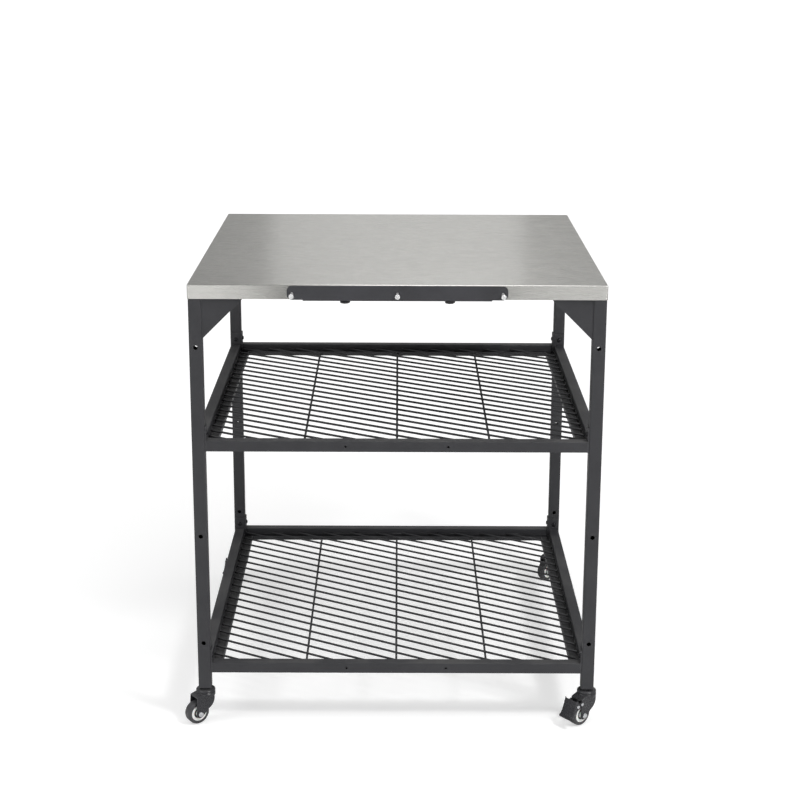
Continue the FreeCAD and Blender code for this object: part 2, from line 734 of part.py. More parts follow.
def caster_fork(braked):
    """Pressed fork: two cheeks, a sloping top and the dome that turns under the cup."""
    half = FORK_GAP / 2 + FORK_SHEET
    body = fork_outline()
    body.translate(Vector(0, -half, 0))
    body = body.extrude(Vector(0, 2 * half, 0))
    slope = Vector(TRAIL + FORK_NOSE - FORK_CREST, 0, FORK_TOP - fork_crest()).normalize()
    body = body.makeFillet(FORK_BEND, edges_along(body, slope))
    if braked:
        pivot = pedal_pivot()
        reach = PEDAL_LUG / 2
        lug = cylinder(reach, (pivot.x, -half, pivot.z), (pivot.x, half, pivot.z))
        neck = block((TRAIL, -half, pivot.z - reach), (pivot.x, half, pivot.z + reach))
        body = body.multiFuse([lug, neck])
    dome = turned([(0, FORK_UNDERSIDE), (DOME / 2, FORK_UNDERSIDE), (DOME / 2, fork_crest()),
                   (DOME / 2 - DOME_SHOULDER, DOME_TOP), (0, DOME_TOP)])
    bowl = cylinder(BOWL / 2, (0, 0, 0), (0, 0, DOME_TOP - DOME_SHEET))
    stem = cylinder(STEM / 2 + STEM_CLEARANCE, (0, 0, 0), (0, 0, LEG_BOTTOM))
    axle = cylinder(AXLE / 2 + AXLE_CLEARANCE, (TRAIL, -DOME, AXLE_HEIGHT),
                    (TRAIL, DOME, AXLE_HEIGHT))
    body = body.fuse(dome)
    for space in (fork_hollow(), bowl, stem, ball_groove(ball_height()), axle):
        body = body.cut(space)
    if braked:
        for pin in (pedal_pivot(), stop_pin()):
            body = body.cut(cylinder(PEDAL_PIN / 2, (pin.x, -DOME, pin.z), (pin.x, DOME, pin.z)))
    return body.removeSplitter()


def on_axle(profile):
    """Piece turned about the caster's axle; the profile is (radius, place along the axle)."""
    piece = turned(profile)
    piece.Placement = FreeCAD.Placement(Vector(TRAIL, 0, AXLE_HEIGHT), Rotation(UP, Vector(0, 1, 0)))
    return piece


def caster_tyre():
    """Soft tyre with rounded shoulders, moulded round the hub's rim."""
    half = TYRE_WIDTH / 2
    shoulder = quarter_round(WHEEL / 2, half - TYRE_SHOULDER, TYRE_SHOULDER, TYRE_SHOULDER)
    upper = [(TYRE_SEAT, HUB_RIM), (TYRE_SEAT + TYRE_LIP, half)] + shoulder[::-1]
    lower = [(r, -y) for r, y in reversed(upper)]
    return on_axle(upper + lower)


def caster_hub():
    """Wheel centre: a rim under the tyre, a thin web and a boss between the fork's cheeks."""
    boss = FORK_GAP / 2 - HUB_SIDE_PLAY
    bore = AXLE / 2 + AXLE_CLEARANCE
    upper = [(bore, boss), (HUB_BOSS, boss), (HUB_BOSS, HUB_WEB), (HUB_RING, HUB_WEB),
             (HUB_RING, HUB_RIM), (TYRE_SEAT, HUB_RIM)]
    lower = [(r, -y) for r, y in reversed(upper)]
    return on_axle(upper + lower)


def thread_guards():
    """Dark rings pressed into both sides of the hub round its boss."""
    rings = []
    for side in (1, -1):
        inner = HUB_BOSS + GUARD_CLEARANCE
        outer = HUB_RING - GUARD_CLEARANCE
        rings.append(on_axle([(inner, side * HUB_WEB), (outer, side * HUB_WEB),
                              (outer, side * (HUB_WEB + GUARD_DEPTH)),
                              (inner, side * (HUB_WEB + GUARD_DEPTH))]))
    return group(rings)


def caster_axle():
    """Axle bolt with a round head outside one cheek and a nut outside the other."""
    cheek = FORK_GAP / 2 + FORK_SHEET
    dome = quarter_round(AXLE_HEAD / 2, cheek + AXLE_HEAD_HEIGHT - AXLE_HEAD_ROUND,
                         AXLE_HEAD_ROUND, AXLE_HEAD_ROUND)
    end = -cheek - NUT_HEIGHT - AXLE_THREAD_END
    bolt = on_axle([(0, end), (AXLE / 2, end), (AXLE / 2, cheek), (AXLE_HEAD / 2, cheek)]
                   + dome + [(0, cheek + AXLE_HEAD_HEIGHT)])
    nut = hex_prism(NUT_ACROSS, (TRAIL, -cheek, AXLE_HEIGHT),
                    (TRAIL, -cheek - NUT_HEIGHT, AXLE_HEIGHT))
    bore = cylinder(AXLE / 2 + THREAD_CLEARANCE, (TRAIL, 0, AXLE_HEIGHT),
                    (TRAIL, end - OVERCUT, AXLE_HEIGHT))
    return group([bolt, nut.cut(bore)])


def inward(along):
    """Across a plate that runs along a direction in the XZ plane, towards the tyre."""
    return Vector(along.z, 0, -along.x)


def height_on(start, along, height):
    """Point at a given height on the line from a point along a direction."""
    return start + along * ((height - start.z) / along.z)


def brake_pedal():
    """Pressed pedal that hangs in front of the tyre, with an ear outside each cheek."""
    pivot = pedal_pivot()
    reach = PEDAL_LUG / 2
    half = FORK_GAP / 2 + FORK_SHEET + PEDAL_SIDE_PLAY + PEDAL_EAR_SHEET
    top, knee, toe = (pivot + Vector(x, 0, z) for x, z in (PEDAL_TOP, PEDAL_KNEE, PEDAL_TOE))
    shin = (knee - top).normalize()
    foot = (toe - knee).normalize()
    bend = inward(shin) + inward(foot)
    knee_inside = knee + bend * (PEDAL_SHEET / (1 + inward(shin).dot(inward(foot))))
    top_inside = top + inward(shin) * PEDAL_SHEET
    plan = [top, knee, toe, toe + inward(foot) * PEDAL_SHEET, knee_inside, top_inside]
    plate = polygon([p - Vector(0, half, 0) for p in plan]).extrude(Vector(0, 2 * half, 0))
    heel = math.radians(PEDAL_HEEL_ANGLE)
    side_view = [pivot + UP * reach,
                 height_on(top_inside, shin, pivot.z + reach),
                 height_on(top_inside, shin, pivot.z - PEDAL_EAR_DROP),
                 pivot + Vector(math.cos(heel), 0, math.sin(heel)) * reach]
    ears = []
    for side in (1, -1):
        inner = Vector(0, side * (half - PEDAL_EAR_SHEET), 0)
        sheet = Vector(0, side * PEDAL_EAR_SHEET, 0)
        ears.append(polygon([p + inner for p in side_view]).extrude(sheet))
        ears.append(cylinder(reach, pivot + inner, pivot + inner + sheet))
    pedal = plate.multiFuse(ears)
    bore = cylinder(PEDAL_PIN / 2 + PEDAL_PIN_CLEARANCE, pivot - Vector(0, DOME, 0),
                    pivot + Vector(0, DOME, 0))
    return pedal.cut(bore).removeSplitter()


def brake_pins():
    """Pin that the pedal swings on, and a short stop pin in each cheek behind it."""
    cheek = FORK_GAP / 2 + FORK_SHEET
    outside = cheek + PEDAL_SIDE_PLAY + PEDAL_EAR_SHEET + RIVET_PLAY
    pivot = pedal_pivot()
    shank = cylinder(PEDAL_PIN / 2, pivot - Vector(0, outside, 0), pivot + Vector(0, outside, 0))
    heads = []
    stops = []
    for side in (1, -1):
        heads.append(cylinder(PEDAL_PIN_HEAD / 2, pivot + Vector(0, side * outside, 0),
                              pivot + Vector(0, side * (outside + PEDAL_PIN_HEAD_HEIGHT), 0)))
        stop = stop_pin()
        post = cylinder(PEDAL_PIN / 2, stop + Vector(0, side * FORK_GAP / 2, 0),
                        stop + Vector(0, side * cheek, 0))
        cap = cylinder(PEDAL_PIN_HEAD / 2, stop + Vector(0, side * cheek, 0),
                       stop + Vector(0, side * (cheek + PEDAL_PIN_HEAD_HEIGHT), 0))
        stops.append(post.fuse(cap))
    return group([shank.multiFuse(heads)] + stops)


def swivel_balls():
    """Balls between the cup and the dome of all four casters."""
    balls = []
    for caster in CASTERS.values():
        for k in range(BALL_COUNT):
            angle = math.radians(360) * k / BALL_COUNT
            place = Vector(BALL_CIRCLE / 2 * math.cos(angle), BALL_CIRCLE / 2 * math.sin(angle),
                           ball_height())
            balls.append(at_leg(Part.makeSphere(BALL / 2, place), caster))
    return group(balls)


def export_frame():
    """Top, legs, aprons, gussets and what is fixed inside them."""
    export(tabletop_pan(), "tabletop_pan")
    for end_name, end in ENDS.items():
        export(apron_along_x(end), "apron_" + end_name)
        for side_name, side in SIDES.items():
            export(leg(side, end), "leg_" + end_name + "_" + side_name)
    for side_name, side in SIDES.items():
        export(apron_along_y(side), "apron_" + side_name)
    export(top_stiffeners(), "top_stiffeners")
    export(gussets_across(), "gussets_front_rear")
    export(gussets_along(), "gussets_sides")
    export(leg_inserts(), "leg_inserts")
    export(weld_nuts(), "weld_nuts")


def export_shelves():
    """Both shelves, each with four rails, a grid, corner angles and screws."""
    for name, underside in shelf_heights().items():
        for end_name, end in ENDS.items():
            export(shelf_rail_x(underside, end), name + "_shelf_rail_" + end_name)
        for side_name, side in SIDES.items():
            export(shelf_rail_y(underside, side), name + "_shelf_rail_" + side_name)
        export(shelf_grid(underside), name + "_shelf_grid")
        export(shelf_angles(underside), name + "_shelf_angles")
        export(shelf_screws(underside), name + "_shelf_screws")


def export_tool_rail():
    """Rail, pegs and thumbscrews on the front."""
    export(tool_rail(), "tool_rail")
    export(tool_pegs(), "tool_pegs")
    export(thumbscrews(), "tool_rail_thumbscrews")


def export_casters():
    """Every caster's pieces, with a pedal on the two braked ones."""
    for name, caster in CASTERS.items():
        prefix = "caster_" + name + "_"
        export(at_leg(caster_mount(), caster), prefix + "mount")
        export(at_leg(caster_fork(caster["brake"]), caster), prefix + "fork")
        export(at_leg(caster_tyre(), caster), prefix + "tyre")
        export(at_leg(caster_hub(), caster), prefix + "hub")
        export(at_leg(thread_guards(), caster), prefix + "thread_guards")
        export(at_leg(caster_axle(), caster), prefix + "axle")
        if caster["brake"]:
            export(at_leg(brake_pedal(), caster), prefix + "pedal")
            export(at_leg(brake_pins(), caster), prefix + "brake_pins")
    export(swivel_balls(), "swivel_balls")


os.makedirs("parts", exist_ok=True)
export_frame()
export_shelves()
export_tool_rail()
export_casters()
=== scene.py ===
import json
import math

import bmesh
import bpy
import numpy as np
from mathutils import Matrix, Vector


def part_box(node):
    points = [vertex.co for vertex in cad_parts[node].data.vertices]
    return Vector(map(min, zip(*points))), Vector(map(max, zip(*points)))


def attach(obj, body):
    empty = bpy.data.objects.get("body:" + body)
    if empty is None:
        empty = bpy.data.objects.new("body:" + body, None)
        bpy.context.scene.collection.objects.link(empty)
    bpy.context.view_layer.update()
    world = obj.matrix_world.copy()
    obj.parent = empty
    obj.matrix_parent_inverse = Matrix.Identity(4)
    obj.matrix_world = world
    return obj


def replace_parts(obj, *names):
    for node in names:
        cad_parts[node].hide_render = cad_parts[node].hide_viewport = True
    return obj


# A square outdoor table on casters: brushed stainless top, powder-coated tube frame, two wire
# shelves, a tool rail with three pegs, and four swivel casters of which two have a brake.

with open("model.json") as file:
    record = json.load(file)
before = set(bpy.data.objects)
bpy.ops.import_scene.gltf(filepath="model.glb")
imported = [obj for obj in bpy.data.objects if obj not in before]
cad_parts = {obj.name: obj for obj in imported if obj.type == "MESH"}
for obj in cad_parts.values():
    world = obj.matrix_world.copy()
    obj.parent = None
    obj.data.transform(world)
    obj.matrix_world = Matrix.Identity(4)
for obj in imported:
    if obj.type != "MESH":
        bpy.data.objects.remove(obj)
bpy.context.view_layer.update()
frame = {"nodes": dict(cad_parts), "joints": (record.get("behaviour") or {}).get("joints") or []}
NODES = frame["nodes"]
JOINTS = {joint["name"]: joint for joint in frame["joints"]}
MM = 0.001
UP = np.array((0.0, 0.0, 1.0))
TURN = 2 * math.pi

# Camera, worked out from the photograph: metres, radians, and pixels of an 800 pixel frame
IMAGE_SIZE = 800
SENSOR_WIDTH = 36.0
FOCAL_PIXELS = 1663.5
CAMERA_PLACE = (0.0005, -3.4828, 1.5676)
CAMERA_YAW = 0.00153
CAMERA_PITCH = 0.25333
CAMERA_ROLL = 0.0038
CAMERA_SHIFT = -0.055


# Shader helpers

EDGE_SAMPLES = 4


def colour(code):
    """Linear colour of an sRGB hex code."""
    channels = [int(code[k:k + 2], 16) / 255 for k in (1, 3, 5)]
    linear = [c / 12.92 if c <= 0.04045 else ((c + 0.055) / 1.055) ** 2.4 for c in channels]
    return (*linear, 1.0)


def cells(size):
    """Noise cells per metre for a pattern whose grain is this many millimetres."""
    return 1.0 / (size * MM)


def feed(tree, node, sockets):
    """Set a node's inputs: a socket is linked and anything else is a value."""
    for key, value in sockets.items():
        if isinstance(value, bpy.types.NodeSocket):
            tree.links.new(value, node.inputs[key])
        else:
            node.inputs[key].default_value = value
    return node


def add(tree, kind, sockets, output=0, **settings):
    """Add one shader node with its settings and links, and give the output that is asked for."""
    node = tree.nodes.new("ShaderNode" + kind)
    for key, value in settings.items():
        setattr(node, key, value)
    return feed(tree, node, sockets).outputs[output]


def edge_mask(tree, radius):
    """One along sharp edges, zero on flats: where the rounded normal leaves the real one."""
    rounded = add(tree, "Bevel", {"Radius": radius}, samples=EDGE_SAMPLES)
    flat = add(tree, "NewGeometry", {}, "Normal")
    match = add(tree, "VectorMath", {0: rounded, 1: flat}, "Value", operation="DOT_PRODUCT")
    return add(tree, "MapRange", {"Value": match, "From Min": 0.80, "From Max": 0.995,
                                  "To Min": 1.0, "To Max": 0.0})


def upward(tree):
    """One where a surface faces up, zero where it stands or faces down."""
    normal = add(tree, "NewGeometry", {}, "Normal")
    height = add(tree, "SeparateXYZ", {0: normal}, "Z")
    return add(tree, "MapRange", {"Value": height, "From Min": 0.5})


def new_finish(name):
    """Empty node material with its tree, its shader and the object's coordinates."""
    material = bpy.data.materials.new(name)
    material.use_nodes = True
    tree = material.node_tree
    place = add(tree, "TexCoord", {}, "Object")
    return material, tree, tree.nodes["Principled BSDF"], place


# Finishes, one for each material slot of the record

BRUSH_LENGTH = 200.0
BRUSH_WIDTH = 0.667


def brushed_stainless(name):
    """Stainless steel sheet, brushed: fine lines along the sheet, and very faint clouds.

    The lines are coarser than the real grit's, so that they show. They blur what the sheet
    mirrors from left to right, which is what gives a brushed sheet its soft, wide lights.
    """
    material, tree, shader, place = new_finish(name)
    x = add(tree, "SeparateXYZ", {0: place}, "X")
    y = add(tree, "SeparateXYZ", {0: place}, "Y")
    z = add(tree, "SeparateXYZ", {0: place}, "Z")
    normal = add(tree, "NewGeometry", {}, "Normal")
    height = add(tree, "SeparateXYZ", {0: normal}, "Z")
    flat = add(tree, "Math", {0: height, 1: 0.7}, operation="GREATER_THAN")
    across = add(tree, "MapRange", {"Value": flat, "To Min": cells(BRUSH_LENGTH),
                                    "To Max": cells(BRUSH_WIDTH)})
    streaks = add(tree, "CombineXYZ", {
        0: add(tree, "Math", {0: x, 1: cells(BRUSH_LENGTH)}, operation="MULTIPLY"),
        1: add(tree, "Math", {0: y, 1: across}, operation="MULTIPLY"),
        2: add(tree, "Math", {0: z, 1: cells(BRUSH_WIDTH)}, operation="MULTIPLY")})
    lines = add(tree, "TexNoise", {"Vector": streaks, "Scale": 1.0, "Detail": 4.0,
                                   "Roughness": 0.65})
    clouds = add(tree, "TexNoise", {"Vector": place, "Scale": cells(286.0), "Detail": 3.0,
                                    "Roughness": 0.55})
    wiped = add(tree, "TexNoise", {"Vector": place, "Scale": cells(45.5), "Detail": 4.0,
                                   "Roughness": 0.6})
    cloudy = add(tree, "MapRange", {"Value": clouds, "From Min": 0.3, "From Max": 0.7})
    lined = add(tree, "MapRange", {"Value": lines, "From Min": 0.35, "From Max": 0.75,
                                   "To Max": 0.14})
    base = add(tree, "Mix", {0: cloudy, 6: colour("#d0cfcb"), 7: colour("#d4d3cf")}, 2,
               data_type="RGBA")
    base = add(tree, "Mix", {0: lined, 6: base, 7: colour("#a5a4a1")}, 2, data_type="RGBA")
    rough = add(tree, "Math", {
        0: add(tree, "MapRange", {"Value": lines, "From Min": 0.3, "From Max": 0.7,
                                  "To Min": 0.24, "To Max": 0.30}),
        1: add(tree, "MapRange", {"Value": wiped, "From Min": 0.35, "From Max": 0.7,
                                  "To Min": -0.008, "To Max": 0.012})}, operation="ADD")
    feed(tree, shader, {
        "Base Color": base, "Metallic": 1.0, "Roughness": rough,
        "Anisotropic": 0.9, "Anisotropic Rotation": 0.25,
        "Tangent": add(tree, "CombineXYZ", {0: 1.0, 1: 0.05}),
        "Normal": add(tree, "Bump", {"Height": lines, "Distance": 0.01 * MM, "Strength": 0.5})})
    return material


def powder_coat(name, dark, light, roughness, grain, flecks=0.10, relief=0.06, rounding=0.0):
    """Charcoal powder coat on steel: orange peel, dust on ledges, thin paler edges that are partly
    wear and partly a painted highlight.

    grain is the width of the orange peel's hills, relief their height and rounding the radius
    of a hard edge under the coat, all in millimetres; flecks is how pale the coat's grains are.
    """
    material, tree, shader, place = new_finish(name)
    peel = add(tree, "TexNoise", {"Vector": place, "Scale": cells(grain)})
    pepper = add(tree, "TexNoise", {"Vector": place, "Scale": cells(grain / 3.2), "Detail": 1.0})
    clouds = add(tree, "TexNoise", {"Vector": place, "Scale": cells(71.4), "Detail": 3.0,
                                    "Roughness": 0.55})
    dusty = add(tree, "MapRange", {"Value": clouds, "From Min": 0.35, "From Max": 0.7,
                                   "To Max": 0.16})
    dust = add(tree, "Math", {0: upward(tree), 1: dusty}, operation="MULTIPLY")
    cloudy = add(tree, "MapRange", {"Value": clouds, "From Min": 0.3, "From Max": 0.7})
    grains = add(tree, "MapRange", {"Value": pepper, "From Min": 0.5, "From Max": 0.8,
                                    "To Max": flecks})
    # Paler colour along sharp edges: partly wear, partly a painted highlight where edges catch the
    # light
    worn_and_highlit = add(tree, "Math", {0: edge_mask(tree, 1.2 * MM), 1: 0.22}, operation="MULTIPLY")
    base = add(tree, "Mix", {0: cloudy, 6: colour(dark), 7: colour(light)}, 2, data_type="RGBA")
    base = add(tree, "Mix", {0: grains, 6: base, 7: colour("#6d6e70")}, 2, data_type="RGBA")
    base = add(tree, "Mix", {0: worn_and_highlit, 6: base, 7: colour("#8b8c8f")}, 2, data_type="RGBA")
    base = add(tree, "Mix", {0: dust, 6: base, 7: colour("#85847f")}, 2, data_type="RGBA")
    hills = add(tree, "MapRange", {"Value": peel, "From Min": 0.3, "From Max": 0.7,
                                   "To Min": roughness - 0.05, "To Max": roughness + 0.06})
    dull = add(tree, "Math", {0: dust, 1: 0.5}, operation="MULTIPLY")
    bump = {"Height": peel, "Distance": relief * MM, "Strength": 0.6}
    if rounding:
        bump["Normal"] = add(tree, "Bevel", {"Radius": rounding * MM}, samples=EDGE_SAMPLES)
    feed(tree, shader, {
        "Base Color": base, "Specular IOR Level": 0.4,
        "Roughness": add(tree, "Math", {0: hills, 1: dull}, operation="ADD"),
        "Normal": add(tree, "Bump", bump)})
    return material


def oxide_screw(name):
    """Black oxide on steel: dark, with a thin film of oil and bare, brighter corners."""
    material, tree, shader, place = new_finish(name)
    film = add(tree, "TexNoise", {"Vector": place, "Scale": cells(2.38), "Detail": 3.0,
                                  "Roughness": 0.6})
    bare = add(tree, "Math", {0: edge_mask(tree, 0.4 * MM), 1: 0.6}, operation="MULTIPLY")
    base = add(tree, "Mix", {0: film, 6: colour("#1c1c1e"), 7: colour("#343438")}, 2,
               data_type="RGBA")
    base = add(tree, "Mix", {0: bare, 6: base, 7: colour("#9a9a9c")}, 2, data_type="RGBA")
    feed(tree, shader, {
        "Base Color": base, "Metallic": 0.65,
        "Roughness": add(tree, "MapRange", {"Value": film, "From Min": 0.3, "From Max": 0.7,
                                            "To Min": 0.26, "To Max": 0.44}),
        "Normal": add(tree, "Bump", {"Height": film, "Distance": 0.02 * MM, "Strength": 0.4})})
    return material


def bright_metal(name, pale, grey, roughness, marks):
    """Plated steel: a slightly cloudy plating over turning marks this many millimetres apart."""
    material, tree, shader, place = new_finish(name)
    cloud = add(tree, "TexNoise", {"Vector": place, "Scale": cells(6.25), "Detail": 3.0,
                                   "Roughness": 0.6})
    fine = add(tree, "TexNoise", {"Vector": place, "Scale": cells(marks)})
    feed(tree, shader, {
        "Base Color": add(tree, "Mix", {0: cloud, 6: colour(pale), 7: colour(grey)}, 2,
                          data_type="RGBA"),
        "Metallic": 1.0,
        "Roughness": add(tree, "MapRange", {"Value": cloud, "From Min": 0.3, "From Max": 0.7,
                                            "To Min": roughness, "To Max": roughness + 0.12}),
        "Normal": add(tree, "Bump", {"Height": fine, "Distance": 0.015 * MM, "Strength": 0.35})})
    return material


def moulded_plastic(name, dark, light, roughness):
    """Moulded black plastic: a fine spark-eroded texture, and rubbed, shinier corners."""
    material, tree, shader, place = new_finish(name)
    texture = add(tree, "TexNoise", {"Vector": place, "Scale": cells(0.556), "Roughness": 0.55})
    cloud = add(tree, "TexNoise", {"Vector": place, "Scale": cells(16.7)})
    rubbed = add(tree, "Math", {0: edge_mask(tree, 0.6 * MM), 1: 0.12}, operation="MULTIPLY")
    matt = add(tree, "MapRange", {"Value": texture, "To Min": roughness - 0.04,
                                  "To Max": roughness + 0.06})
    feed(tree, shader, {
        "Base Color": add(tree, "Mix", {0: cloud, 6: colour(dark), 7: colour(light)}, 2,
                          data_type="RGBA"),
        "Roughness": add(tree, "Math", {0: matt, 1: rubbed}, operation="SUBTRACT"),
        "Normal": add(tree, "Bump", {"Height": texture, "Distance": 0.03 * MM,
                                     "Strength": 0.5})})
    return material


def tyre_rubber(name):
    """Dark grey rubber: a fine skin with a faint bloom, and floor dust caught in it."""
    material, tree, shader, place = new_finish(name)
    skin = add(tree, "TexNoise", {"Vector": place, "Scale": cells(0.667), "Detail": 3.0,
                                  "Roughness": 0.6})
    bloom = add(tree, "TexNoise", {"Vector": place, "Scale": cells(11.1), "Detail": 3.0,
                                   "Roughness": 0.6})
    specks = add(tree, "TexNoise", {"Vector": place, "Scale": cells(2.38), "Detail": 4.0,
                                    "Roughness": 0.7})
    dust = add(tree, "MapRange", {"Value": specks, "From Min": 0.6, "From Max": 0.8,
                                  "To Max": 0.15})
    base = add(tree, "Mix", {0: bloom, 6: colour("#38383a"), 7: colour("#434345")}, 2,
               data_type="RGBA")
    feed(tree, shader, {
        "Base Color": add(tree, "Mix", {0: dust, 6: base, 7: colour("#6f6d69")}, 2,
                          data_type="RGBA"),
        "Roughness": add(tree, "MapRange", {"Value": skin, "From Min": 0.3, "From Max": 0.7,
                                            "To Min": 0.38, "To Max": 0.52}),
        "Normal": add(tree, "Bump", {"Height": skin, "Distance": 0.04 * MM, "Strength": 0.5})})
    return material


def white_nylon(name):
    """Moulded white nylon: slightly translucent, with faint grey scuffs."""
    material, tree, shader, place = new_finish(name)
    cloud = add(tree, "TexNoise", {"Vector": place, "Scale": cells(8.33), "Detail": 3.0,
                                   "Roughness": 0.6})
    marks = add(tree, "TexNoise", {"Vector": place, "Scale": cells(1.43), "Detail": 4.0,
                                   "Roughness": 0.7})
    scuffs = add(tree, "MapRange", {"Value": marks, "From Min": 0.55, "From Max": 0.8,
                                    "To Max": 0.3})
    grey = add(tree, "Math", {0: scuffs, 1: 0.25}, operation="MULTIPLY")
    base = add(tree, "Mix", {0: cloud, 6: colour("#fdfdfb"), 7: colour("#f3f3f0")}, 2,
               data_type="RGBA")
    feed(tree, shader, {
        "Base Color": add(tree, "Mix", {0: grey, 6: base, 7: colour("#a7a6a2")}, 2,
                          data_type="RGBA"),
        "Roughness": add(tree, "MapRange", {"Value": cloud, "From Min": 0.3, "From Max": 0.7,
                                            "To Min": 0.3, "To Max": 0.42}),
        "Subsurface Weight": 0.08, "Subsurface Scale": 2.0 * MM,
        "Normal": add(tree, "Bump", {"Height": scuffs, "Distance": 0.02 * MM,
                                     "Strength": 0.3})})
    return material


FINISHES = {
    "stainless_top": brushed_stainless("brushed_stainless_sheet"),
    "frame_coat": powder_coat("charcoal_powder_coat_tube", "#2f2f32", "#363639", 0.50, 1.11,
                              rounding=0.5),
    "wire_coat": powder_coat("charcoal_powder_coat_wire", "#2a2a2c", "#313134", 0.48, 0.909),
    "rail_coat": powder_coat("charcoal_powder_coat_plate", "#333336", "#3a3a3e", 0.52, 1.25,
                             rounding=0.6),
    "black_screw": oxide_screw("black_oxide_screw_steel"),
    "peg_chrome": bright_metal("satin_chrome_peg", "#ffffff", "#f4f4f4", 0.42, 1.11),
    "black_plastic": moulded_plastic("moulded_black_knob_plastic", "#1f1f21", "#29292c", 0.42),
    "zinc": bright_metal("dull_zinc_plate", "#b9bcbf", "#8f9296", 0.30, 0.667),
    "caster_black": powder_coat("black_caster_lacquer", "#2c2c2f", "#333336", 0.26, 2.0,
                                flecks=0.02, relief=0.02),
    "tyre_rubber": tyre_rubber("grey_black_caster_rubber"),
    "hub_white": white_nylon("white_nylon_wheel_centre"),
    "guard_black": moulded_plastic("moulded_black_guard_plastic", "#1a1a1c", "#232326", 0.38),
    "bolt_bright": bright_metal("bright_zinc_bolt", "#dcdddf", "#b4b6b9", 0.18, 0.833),
}

# Widths of the rounded edges that catch the light, in millimetres, by material slot
SOFT_EDGES = {"wire_coat": 0.3, "caster_black": 0.6, "hub_white": 0.3, "guard_black": 0.2,
              "black_screw": 0.2, "bolt_bright": 0.3}
SAME_PLACE = 0.002
HARD_EDGE = math.radians(35)


def soften(thing, width):
    """Round the hard edges of an object a little, by a modifier."""
    bevel = thing.modifiers.new("softened_edges", "BEVEL")
    bevel.width = width * MM
    bevel.segments = 2
    bevel.limit_method = "ANGLE"
    bevel.angle_limit = HARD_EDGE
    bevel.harden_normals = True
    bevel.use_clamp_overlap = True


def dress_nodes():
    """Give every CAD node its finish, and some their softened edges."""
    for node in NODES.values():
        slot = node.material_slots[0].material.name
        for holder in node.material_slots:
            holder.material = FINISHES[slot]
        if slot in SOFT_EDGES:
            weld = node.modifiers.new("joined_corners", "WELD")
            weld.merge_threshold = SAME_PLACE * MM
            soften(node, SOFT_EDGES[slot])


# Mesh helpers. A shape is a pair: its points, and its faces as lists of point numbers

def lofted(rings, closed=True, ends="capped"):
    """Shape of quads between rings of points, an array of ring, point and axis.

    closed joins each ring's last point to its first. ends says what is done at the first and
    the last ring: each is "capped" by a face, they are "joined" to each other, or left "open".
    """
    rings = np.asarray(rings)
    number = np.arange(rings.shape[0] * rings.shape[1]).reshape(rings.shape[:2])
    beside = np.roll(number, -1, axis=1)
    quads = np.stack((number, beside, np.roll(beside, -1, axis=0), np.roll(number, -1, axis=0)), -1)
    if not closed:
        quads = quads[:, :-1]
    if ends != "joined":
        quads = quads[:-1]
    faces = quads.reshape(-1, 4).tolist()
    if ends == "capped":
        faces += number[[0, -1]].tolist()
    return rings.reshape(-1, 3), faces


def joined(shapes):
    """One shape of several."""
    starts = np.cumsum([0] + [len(points) for points, _ in shapes])
    faces = []
    for start, (_, sides) in zip(starts.tolist(), shapes):
        faces += [[start + corner for corner in side] for side in sides]
    return np.concatenate([points for points, _ in shapes]), faces


def meshed(name, shape, material):
    """Object of one shape, smooth and in a material."""
    points, faces = shape
    mesh = bpy.data.meshes.new(name)
    mesh.from_pydata(points.tolist(), [], faces)
    mesh.shade_smooth()
    mesh.materials.append(material)
    thing = bpy.data.objects.new(name, mesh)
    bpy.context.scene.collection.objects.link(thing)
    return thing


def piece(name, shapes, slot, body):
    """Piece of the table: its shapes with their faces turned outwards, riding on a body."""
    thing = meshed(name, joined(shapes), FINISHES[slot])
    work = bmesh.new()
    work.from_mesh(thing.data)
    bmesh.ops.recalc_face_normals(work, faces=work.faces)
    work.to_mesh(thing.data)
    work.free()
    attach(thing, body)
    return thing


def divided(profile, parts):
    """Profile with each of its runs cut into equal parts."""
    profile = np.asarray(profile)
    whole = np.arange(len(profile))
    at = np.linspace(0, len(profile) - 1, (len(profile) - 1) * parts + 1)
    return np.stack([np.interp(at, whole, column) for column in profile.T], axis=1)


def circle(steps):
    """Angles of evenly spaced points round a circle."""
    return TURN * np.arange(steps) / steps


# Weld beads: a low ridge in an inner corner, laid as overlapping scales. Sizes are in metres

BEAD_PITCH = 2.4 * MM
BEAD_STEP = 0.8 * MM
BEAD_SIDES = 7
BEAD_ROOT = 0.15
GUSSET_SHEET = 3.0 * MM
GUSSET_BEAD = 2.6 * MM
GUSSET_TIP_INSET = 4.0 * MM
GUSSET_CORNER_INSET = 2.0 * MM
STITCHES = 5
STITCH_SPACING = 145.0 * MM
STITCH_LENGTH = 22.0 * MM
STITCH_LEG = 1.8 * MM
STITCH_ABOVE = 9.0 * MM


def bead(start, end, first, second, size):
    """Fillet bead from start to end in the corner between two faces.

    first and second are the directions in which the two faces run out of the corner. The leg of
    the bead at a distance s is size * (0.82 + 0.18 |sin(pi s / pitch)|), tapered at both ends,
    and its skin at an angle a between the faces is the leg * (0.74 + 0.26 |cos 2a|) away.
    """
    start, end, first, second = (np.array(v, dtype=float) for v in (start, end, first, second))
    length = np.linalg.norm(end - start)
    s = np.linspace(0, length, max(4, round(length / BEAD_STEP)) + 1)
    taper = np.minimum(1.0, 0.45 + np.minimum(s, length - s) / (2 * size))
    leg = size * taper * (0.82 + 0.18 * np.abs(np.sin(math.pi * s / BEAD_PITCH)))
    centre = start + np.outer(s / length, end - start)
    angle = np.linspace(0, math.pi / 2, BEAD_SIDES)
    skin = np.outer(np.cos(angle), first) + np.outer(np.sin(angle), second)
    skin *= (0.74 + 0.26 * np.abs(np.cos(2 * angle)))[:, None]
    root = centre - (first + second) * size * BEAD_ROOT
    rings = centre[:, None] + leg[:, None, None] * skin
    return lofted(np.concatenate((root[:, None], rings), axis=1))


